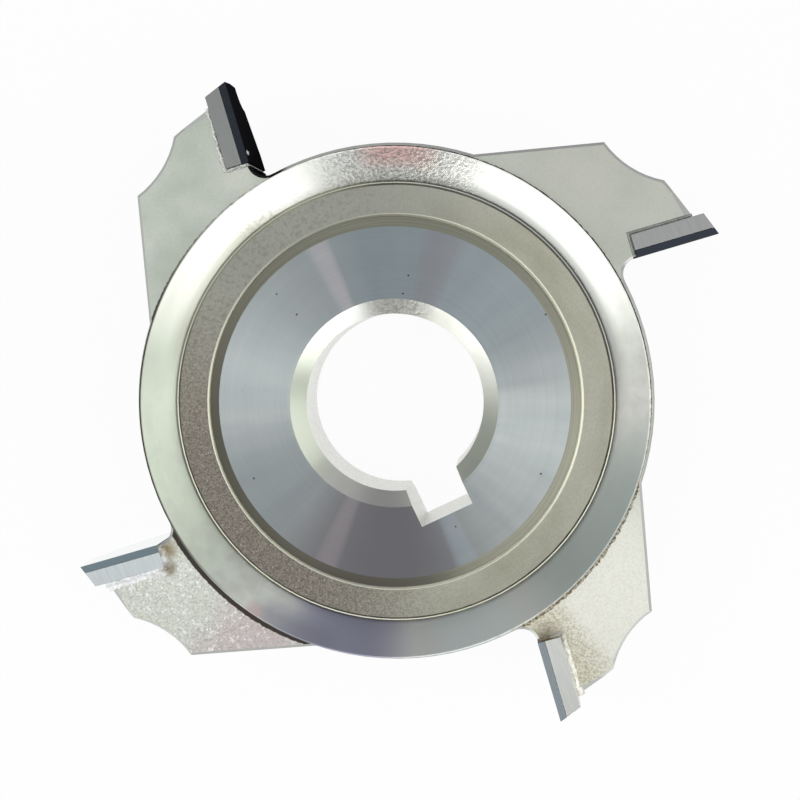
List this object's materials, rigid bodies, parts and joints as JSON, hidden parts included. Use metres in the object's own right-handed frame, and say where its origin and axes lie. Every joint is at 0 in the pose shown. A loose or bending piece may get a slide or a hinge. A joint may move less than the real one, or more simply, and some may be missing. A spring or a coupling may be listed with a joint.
{
  "type": "diamond trimming cutter",
  "caption": "Disc-shaped trimming cutter with hooked arms carrying brazed diamond-faced inserts, a dished front ring and a keyed central bore.",
  "frame": {"origin": "on the bore's axis, at the rear clamping face", "axes": "+Z along the bore's axis towards the dished front, -Y through the middle of the keyway"},
  "size_m": [0.065, 0.065, 0.012],
  "materials": {
    "tool_steel": "turned, ground and plated, satin on the arms",
    "carbide": "ground",
    "diamond": "polished, nearly black",
    "solder": "rough, as brazed"
  },
  "bodies": {
    "root": {"cutter_body": "tool_steel", "carbide_backing_1": "carbide", "carbide_backing_2": "carbide", "carbide_backing_3": "carbide", "carbide_backing_4": "carbide", "diamond_facing_1": "diamond", "diamond_facing_2": "diamond", "diamond_facing_3": "diamond", "diamond_facing_4": "diamond", "solder_seam_1": "solder", "solder_seam_2": "solder", "solder_seam_3": "solder", "solder_seam_4": "solder"}
  },
  "joints": []
}
